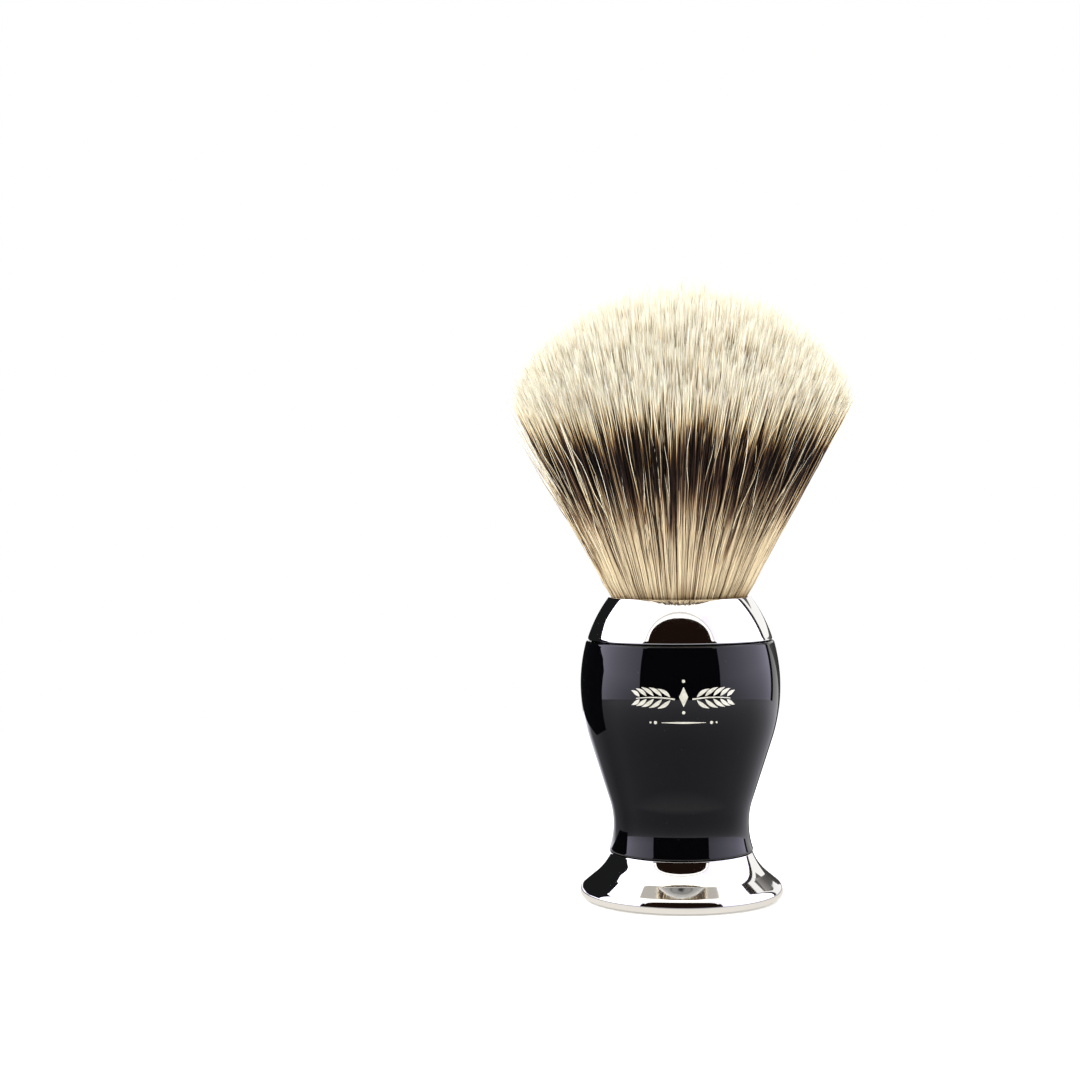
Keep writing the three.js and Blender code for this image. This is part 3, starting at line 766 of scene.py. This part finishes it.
def strand_heights(top):
    """The ring heights of long strands, with one ring at the cut."""
    upper = HAIR_CUT + (top[:, None] - HAIR_CUT) * UPPER_RINGS
    return np.concatenate([np.broadcast_to(LOWER_RINGS, (len(top), len(LOWER_RINGS))), upper], 1)


def dealt(name, groups, *parts):
    """The upper strands dealt out into a few meshes: parts are the arrays that strand_mesh takes."""
    return [("high", strand_mesh(f"{name}_{g}", *(part[g::groups] for part in parts))) for g in range(groups)]


def upper_and_lower(name, lines, width, taper, white, band, columns, groups):
    """Long strands as meshes cut at one height, the part below the cut and the part above it."""
    distance = from_tip(lines)
    length = distance[:, :1]
    along = strand_colour(distance, white[:, None], band[:, None], length)
    widths = tapered(distance, width, taper)
    cut = len(LOWER_RINGS) - 1
    made = []
    for g in range(groups):
        pick = slice(g, None, groups)
        for part, rings in (("low", slice(0, cut + 1)), ("high", slice(cut, None))):
            arrays = (array[pick, rings] for array in (lines, widths, along))
            made.append((part, strand_mesh(f"{name}_{part}_{g}", *arrays, columns[pick])))
    return made


def outer_hair():
    """Whole-length strands of the knot's outside."""
    count, clumps = 8000, 640
    root, tip, own = clumped(count, clumps, 0.89, 1.0)
    tip = tip * TIP_REACH
    heights = strand_heights(uneven_top(np.linalg.norm(tip, axis=1), own, 0.42, 0.85))
    lines = strand_lines(root, tip, heights, RNG.normal(0, 0.4, (count, 2)), RNG.uniform(0.02, 0.14, count))
    share = np.linalg.norm(root, axis=1)
    white, band = white_length(share, own), band_length(count)
    columns = strand_columns(count)
    width = RNG.uniform(0.13, 0.225, count) * np.where(columns >= CREAM_FROM, 0.75, 1)
    return upper_and_lower("outer_hair", lines, width, 5.0, white, band, columns, 3)


def stray_hair():
    """Loose single hairs standing off the knot's side and crossing it at a slant."""
    count = 170
    left = RNG.random(count) < 0.4
    angle = np.where(left, RNG.normal(np.pi, 0.5, count), RNG.uniform(0, 2 * np.pi, count))
    outward = direction(angle)
    either = lambda on_left, elsewhere: np.where(
        left, RNG.uniform(*on_left, count), RNG.uniform(*elsewhere, count),
    )[:, None]
    root = outward * either((0.985, 1.02), (0.96, 1.0))
    lean = RNG.normal(0, 0.13, count)
    tip = direction(angle + lean) * either((0.95, 1.03), (0.93, 0.99))
    heights = strand_heights(HAIR_WIDEST_HEIGHT + RNG.uniform(-12, 2.5, count))
    sway = outward * either((-0.2, 1.6), (-0.4, 0.4))
    lines = strand_lines(root, tip, heights, sway, RNG.uniform(0.1, 0.3, count))
    white, band = RNG.uniform(5, 30, count), RNG.uniform(6, 12, count)
    width = RNG.uniform(0.10, 0.16, count)
    columns = strand_columns(count, 0.5)
    return upper_and_lower("stray_hair", lines, width, 8.0, white, band, columns, 1)


def tip_hair():
    """The tips that make the dome, each rooted out of sight below it."""
    count, clumps = 16500, 1500
    root, tip, own = clumped(count, clumps, 0.0, 0.965)
    tip = tip * TIP_REACH
    share = np.linalg.norm(tip, axis=1)
    top = uneven_top(share, own, 0.38, 0.8)
    base = top - RNG.uniform(11, 15, count)
    steps = np.array([0.0, 0.35, 0.62, 0.80, 0.92, 1.0])
    heights = base[:, None] + (top - base)[:, None] * steps
    lines = strand_lines(root, tip, heights, RNG.normal(0, 0.4, (count, 2)), RNG.uniform(0.02, 0.12, count))
    distance = from_tip(lines)
    white, band = white_length(share, own), band_length(count)
    along = strand_colour(distance, white[:, None], band[:, None], np.full((count, 1), 50.0))
    widths = tapered(distance, RNG.uniform(0.16, 0.26, count), 5.0)
    columns = strand_columns(count)
    return dealt("tip_hair", 4, lines, widths, along, columns)


def under_hair():
    """Short stout hairs that fill the dome from below, so that only hair shows between the tips."""
    count, clumps = 17000, 1700
    root, tip, own = clumped(count, clumps, 0.0, 0.94)
    tip = tip * TIP_REACH
    share = np.linalg.norm(tip, axis=1)
    top = uneven_top(share, own, 0.5, 0.4) - RNG.uniform(1.6, 3.4, count)
    heights = top[:, None] - RNG.uniform(5.4, 7.0, count)[:, None] * np.array([1.0, 0.5, 0.2, 0.0])
    lines = strand_lines(root, tip, heights, RNG.normal(0, 0.4, (count, 2)), RNG.uniform(0.02, 0.1, count))
    distance = from_tip(lines)
    white = RNG.uniform(8, 13, count)
    along = strand_colour(distance, white[:, None], np.full((count, 1), 12.0), np.full((count, 1), 50.0))
    widths = tapered(distance, RNG.uniform(0.32, 0.5, count), 3.5)
    columns = strand_columns(count, 0.08, 0.04)
    return dealt("under_hair", 2, lines, widths, along, columns)


def core_surface(name, rows, low_cap, high_cap, streaked=None, sides=420):
    """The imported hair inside, as a ridged closed solid. rows are (radius, height, colour place), upwards.
    Its colour runs in streaks up to the row given, and is mottled above it."""
    rows = np.array(rows, float)
    ridge = 1 + RNG.normal(0, 0.012, sides)
    angles = circle(sides)
    radius = rows[:, None, 0] * ridge
    height = np.repeat(rows[:, None, 1], sides, 1)
    points = np.stack([radius * np.cos(angles), radius * np.sin(angles), height], 2).reshape(-1, 3)
    points[:, 0] += HAIR_LEAN * np.clip((points[:, 2] - HAIR_MOUTH_HEIGHT) / 36, 0, 1)
    low, side = np.meshgrid(np.arange(len(rows) - 1), np.arange(sides), indexing="ij")
    quads = ring_quads(low[:, 0], low[:, 0] + 1, sides)
    column = RNG.integers(0, COLUMNS, sides)
    mottled = low >= (len(rows) if streaked is None else streaked)
    own = np.where(mottled, RNG.integers(0, BROWN_FROM, low.shape), column[side]).reshape(-1)
    edge = np.stack([own + 0.2, own + 0.8, own + 0.8, own + 0.2], 1) / COLUMNS
    level = rows[:, 2]
    up = np.stack([level[low], level[low], level[low + 1], level[low + 1]], -1).reshape(-1, 4)
    layout = np.stack([edge, up], -1).reshape(-1, 2)
    points = np.vstack([points, [0, 0, low_cap], [0, 0, high_cap]])
    caps = fan_caps(len(points) - 2, len(points) - 1, (len(rows) - 1) * sides, sides)
    cap = np.stack([column + 0.5, column + 0.2, column + 0.8], 1) / COLUMNS
    ends = [np.stack([cap, np.full(cap.shape, level[k])], -1).reshape(-1, 2) for k in (0, -1)]
    loops = np.concatenate([quads.reshape(-1), caps])
    sizes = np.concatenate([np.full(quads.size // 4, 4), np.full(2 * sides, 3)])
    obj = mesh_object(name, points, loops, sizes, uv=np.vstack([layout, *ends]))
    obj.data.set_sharp_from_angle(angle=math.radians(60))
    return obj


def core_hair():
    """The core in two parts, cut at the same height as the long strands."""
    # The low places near height 50 take the ramps' darkened root colour: painted shade at the collar's mouth.
    at = [50, 56, 62, 68, 72, 80, 83, 86, 100]
    place = [0.02, 0.2, 0.36, 0.43, 0.5, 0.62, 0.69, 0.735, 0.80]
    level = lambda z: float(np.interp(z, at, place))
    inner, bottom = 0.92, 51.8
    packed = lambda z: knot_radius(max(z, HAIR_MOUTH_HEIGHT))
    low_rows = [(inner * packed(z), z, level(z)) for z in np.linspace(bottom, HAIR_CUT, 12)]
    side_rows = [(inner * knot_radius(z), z, level(z)) for z in np.linspace(HAIR_CUT, 80.0, 12)]
    shares = np.linspace(inner, 0.02, 26)
    drop = np.interp(shares, [0, 0.8, inner], [6.4, 6.2, 6.8])
    dome_rows = []
    for share, under in zip(shares, drop):
        z = float(dome_height(share)) - under
        dome_rows.append((share * knot_radius(z), z, level(z)))
    high_rows, crown = side_rows + dome_rows, dome_rows[-1][1]
    return [
        ("low", core_surface("hair_core_low", low_rows, bottom, HAIR_CUT)),
        ("high", core_surface("hair_core_high", high_rows, HAIR_CUT, crown, len(side_rows))),
    ]


def build_hair():
    material = hair_material()
    pieces = core_hair() + outer_hair() + stray_hair() + tip_hair() + under_hair()
    for part, piece in pieces:
        wear(piece, material)
        if part == "low":
            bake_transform(piece)
        else:
            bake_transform(piece)
    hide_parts("bristle_root", "bristle_backbone")
    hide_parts("bristle_tips")


# ---- The studio ----

SOFTBOX_COLOUR = (0.83, 0.81, 1.0)
GLOW_FADES_FROM = 250  # the softboxes are at full strength above this height
GLOW_FADES_TO = -340  # and at GLOW_LOW_SHARE of it below this one
GLOW_LOW_SHARE = 0.70


def glowing(name, colour, strength):
    """A surface that only glows. strength is a number, or stops for by_azimuth, which then fade downwards."""
    m = Material(name)
    glow = m.add("Emission", {"Color": (*colour, 1)})
    if isinstance(strength, list):
        height = m.add("SeparateXYZ", {"Vector": m.place()}).outputs["Z"]
        round_it = m.by_azimuth(strength)
        fade = m.spread(height, GLOW_FADES_TO * MM, GLOW_FADES_FROM * MM, GLOW_LOW_SHARE, 1.0)
        faded = m.math("MULTIPLY", round_it, fade)
        m.join(faded, glow.inputs["Strength"])
    else:
        glow.inputs["Strength"].default_value = strength
    m.glows_as(glow)
    m.nodes.remove(m.shader)
    return m.material


def only_seen_in_gloss(obj, camera=False):
    obj.visible_camera = camera
    obj.visible_diffuse = False
    obj.visible_shadow = False
    obj.visible_transmission = False
    obj.visible_volume_scatter = False


def card(name, azimuth, elevation, distance, colour, strength, centre=35.0, camera=False):
    """A patch of a ball round the brush, by ranges of azimuth (from the camera's side) and elevation.
    Each side of the azimuth range is a number or a function of elevation."""
    columns, rows = 48, 36
    e = np.linspace(*elevation, rows + 1)
    low, high = (side(e) if callable(side) else np.full(rows + 1, side) for side in azimuth)
    a = low + (high - low) * np.linspace(0, 1, columns + 1)[:, None]
    a, e = np.radians(a + CAMERA_AZIMUTH), np.radians(e) + 0 * a
    points = np.stack([np.sin(a) * np.cos(e), -np.cos(a) * np.cos(e), np.sin(e)], -1) * distance
    points = points + [0, 0, centre]
    i, j = np.meshgrid(np.arange(columns), np.arange(rows), indexing="ij")
    at = lambda x, y: x * (rows + 1) + y
    quads = np.stack([at(i, j), at(i + 1, j), at(i + 1, j + 1), at(i, j + 1)], -1).reshape(-1)
    obj = mesh_object(name, points.reshape(-1, 3), quads, np.full(columns * rows, 4))
    wear(obj, glowing(name, colour, strength))
    only_seen_in_gloss(obj, camera)


def arch(width, spring, top):
    """The two sides of an arch, by elevation: straight up to spring, then a round head that closes at top."""
    half = lambda e: width * np.sqrt(1 - np.clip((e - spring) / (top - spring), 0, 1) ** 2.5)
    return (lambda e: -half(e)), half


def left_dark_wall():
    """The side of something dark that stands on the table to the left and runs away from the camera."""
    azimuth = np.radians(np.array([-88.5, -93.3, -106, -119, -132, -163, -174]) + CAMERA_AZIMUTH)
    distance = np.array([77, 77.1, 80, 88, 103.6, 263, 736])
    top = np.array([46, 53.8, 61.3, 81, 205, 400, 400])
    bottom = np.array([5, 5, 4, 2, 6, 12, 12])
    lean = np.radians(np.array([-6, -5, -3, 0, 0, 0, 0]))
    flat = lambda angle: np.stack([np.sin(angle) * distance, -np.cos(angle) * distance], 1)
    foot, head = np.column_stack([flat(azimuth + lean), bottom]), np.column_stack([flat(azimuth), top])
    points = np.vstack([foot, head])
    count = len(top)
    i = np.arange(count - 1)
    quads = np.stack([i, i + 1, i + 1 + count, i + count], -1).reshape(-1)
    obj = mesh_object("left_dark_wall", points, quads, np.full(count - 1, 4), smooth=False)
    wear(obj, glowing("left_dark_wall", (0.9, 0.95, 1), 0.012))
    only_seen_in_gloss(obj)


def ceiling_patch(name, turn, wide, deep, distance, colour, strength):
    """An oval patch overhead, tilted back by turn degrees and reaching wide and deep degrees."""
    rings, sides = 12, 64
    angles = circle(sides)[None]
    reach = wide * deep / np.hypot(deep * np.cos(angles), wide * np.sin(angles))
    away = np.radians(np.linspace(0.02, 1, rings)[:, None] * reach)
    ball = np.stack([
        np.sin(away) * np.cos(angles), np.sin(away) * np.sin(angles), np.cos(away) + 0 * angles,
    ], -1)
    c, s = math.cos(math.radians(turn)), math.sin(math.radians(turn))
    tilt = np.array([[1, 0, 0], [0, c, s], [0, -s, c]])
    points = ball.reshape(-1, 3) @ tilt.T * distance
    band = np.arange(rings - 1)
    facing_down = [0, 3, 2, 1]
    quads = ring_quads(band, band + 1, sides)[..., facing_down].reshape(-1)
    loops = np.concatenate([quads, np.arange(sides)])
    sizes = np.concatenate([np.full((rings - 1) * sides, 4), [sides]])
    obj = mesh_object(name, points, loops, sizes)
    wear(obj, glowing(name, colour, strength))
    only_seen_in_gloss(obj)


def area_light(name, place, aim, size, power):
    data = bpy.data.lights.new(name, "AREA")
    data.shape, data.size, data.energy = "DISK", size, power
    light = bpy.data.objects.new(name, data)
    bpy.context.scene.collection.objects.link(light)
    light.location = place
    light.rotation_euler = (Vector(aim) - Vector(place)).to_track_quat("-Z", "Y").to_euler()
    light.visible_camera = False
    light.visible_glossy = False


def disc(name, radius, height, sides=128):
    angles = circle(sides)
    points = np.stack([radius * np.cos(angles), radius * np.sin(angles), np.full(sides, height)], 1)
    return mesh_object(name, points, np.arange(sides), np.array([sides]), smooth=False)


def floor_material():
    """A pale floor that fades with distance into the white round it."""
    m = Material("pale_floor", Roughness=0.6)
    m.shader.inputs["Base Color"].default_value = (0.86, 0.86, 0.855, 1)
    away = m.add("VectorMath", {0: m.place()}, operation="LENGTH").outputs["Value"]
    glow = m.add("Emission")
    fade = m.add("MixShader", {"Fac": m.spread(away, 0.08, 0.34, 0, 1)})
    m.join(m.shader.outputs[0], fade.inputs[1])
    m.join(glow.outputs[0], fade.inputs[2])
    m.glows_as(fade)
    return m.material


def reflected_floor_material():
    """What the chrome and the resin see of the table: darker on the left, and in the brush's own shade."""
    m = Material("reflected_floor")
    away = m.add("VectorMath", {0: m.place()}, operation="LENGTH").outputs["Value"]
    round_it = m.by_azimuth([
        (-180, 1.7), (-152, 1.1), (-135, 0.2), (-100, 0.2), (-75, 0.38), (0, 0.34),
        (70, 0.40), (85, 0.40), (100, 0.45), (125, 0.52), (150, 0.45), (180, 0.2),
    ])
    round_it = m.math("MULTIPLY", round_it, m.spread(away, 0.05, 0.2, 1.0, 2.2))
    far = m.spread(away, 0.026, 0.036, 0.0, 1.0)
    near = m.math("MULTIPLY", m.math("SUBTRACT", 1.0, far), 0.86)
    strength = m.math("ADD", m.math("MULTIPLY", round_it, far), near)
    colour = m.mix(far, (1, 0.96, 0.90), (0.92, 0.92, 1))
    glow = m.add("Emission", {"Color": colour, "Strength": strength})
    m.glows_as(glow)
    m.nodes.remove(m.shader)
    return m.material


def build_studio():
    scene = bpy.context.scene
    world = bpy.data.worlds.new("studio")
    world.use_nodes = True
    background = world.node_tree.nodes["Background"]
    background.inputs["Color"].default_value = (1, 0.995, 0.985, 1)
    background.inputs["Strength"].default_value = 0.66
    scene.world = world
    scene.view_settings.view_transform = "Standard"
    scene.view_settings.look = "None"

    floor = wear(disc("floor", 3000, -0.02), floor_material())
    floor.visible_glossy = False
    mirror_floor = wear(disc("floor_in_reflections", 246, -0.02), reflected_floor_material())
    only_seen_in_gloss(mirror_floor)

    card("white_room", (-180, 180), (-90, 90), 4500, (1, 1, 1), 1.0, camera=True)
    card("white_ceiling", (-180, 180), (50, 90), 4300, (1, 0.985, 0.96), 1.5)
    left_glow = [(-110, 2.8), (-94, 2.7), (-69, 2.1), (-48, 1.6)]
    right_glow = [(48, 1.3), (54, 1.42), (86, 2.05), (116, 2.25), (128, 2.3)]
    card("left_softbox", (-150, -40), (-24, 52), 3000, SOFTBOX_COLOUR, left_glow)
    card("right_softbox", (40, 128), (-24, 52), 3000, SOFTBOX_COLOUR, right_glow)
    card("front_outline", arch(47.5, 31, 60), (27, 60), 2960, (1, 0.96, 0.92), 0.75)
    card("front_gap", arch(46, 31, 58), (-24, 58), 2950, (1, 0.99, 0.98), 1.35)
    card("front_dark", arch(43, 33, 54), (-24, 54), 2900, (0.9, 0.45, 0.3), 0.012)
    card("front_dark_low", (-46.5, 46.5), (-24, 26), 2880, (0.9, 0.45, 0.3), 0.012)
    card("right_dark_edge", (127, 133), (-24, 50), 2900, (1, 0.9, 0.8), 0.03)
    back_edge = lambda e: np.interp(e, [-23, -9, 1, 12], [152, 148, 139, 128])
    back_glow = [(128, 0.42), (140, 0.14), (155, 0.06), (180, 0.036)]
    card("right_dark_back", (back_edge, 181), (-23, 12.5), 90, (1, 0.97, 0.94), back_glow)
    card("right_grey_back", (139, 172), (20, 46), 2900, (1, 0.97, 0.94), 0.12)
    left_dark_wall()
    ceiling_patch("grey_ceiling_patch", 9, 23, 12, 4100, (1, 0.95, 0.88), 0.5)
    ceiling_patch("dark_ceiling_patch", 9, 13, 9, 4000, (1, 0.9, 0.85), 0.12)

    area_light("key_left", (-0.55, -0.75, 0.75), (0, 0, 0.06), 0.7, 13.2)
    area_light("key_right", (0.75, -0.55, 0.65), (0, 0, 0.06), 0.7, 9.4)
    area_light("over", (0.1, 0.25, 1.1), (0, 0, 0.05), 0.9, 12.0)
    area_light("rim_left", (-0.6, 0.6, 0.4), (0, 0, 0.08), 0.4, 8.0)
    area_light("rim_right", (0.6, 0.6, 0.4), (0, 0, 0.08), 0.4, 4.5)

    data = bpy.data.cameras.new("camera")
    data.lens, data.sensor_width = CAMERA_LENS, 36
    data.clip_start = 0.01
    camera = bpy.data.objects.new("camera", data)
    scene.collection.objects.link(camera)
    tilt = Matrix.Rotation(math.radians(90 - CAMERA_DOWN), 4, "X")
    roll = Matrix.Rotation(math.radians(CAMERA_ROLL), 4, "Z")
    camera.matrix_world = Matrix.Translation([c * MM for c in CAMERA_PLACE]) @ (tilt @ roll)
    scene.camera = camera


build_studio()
build_handle()
build_ornament()
build_hair()
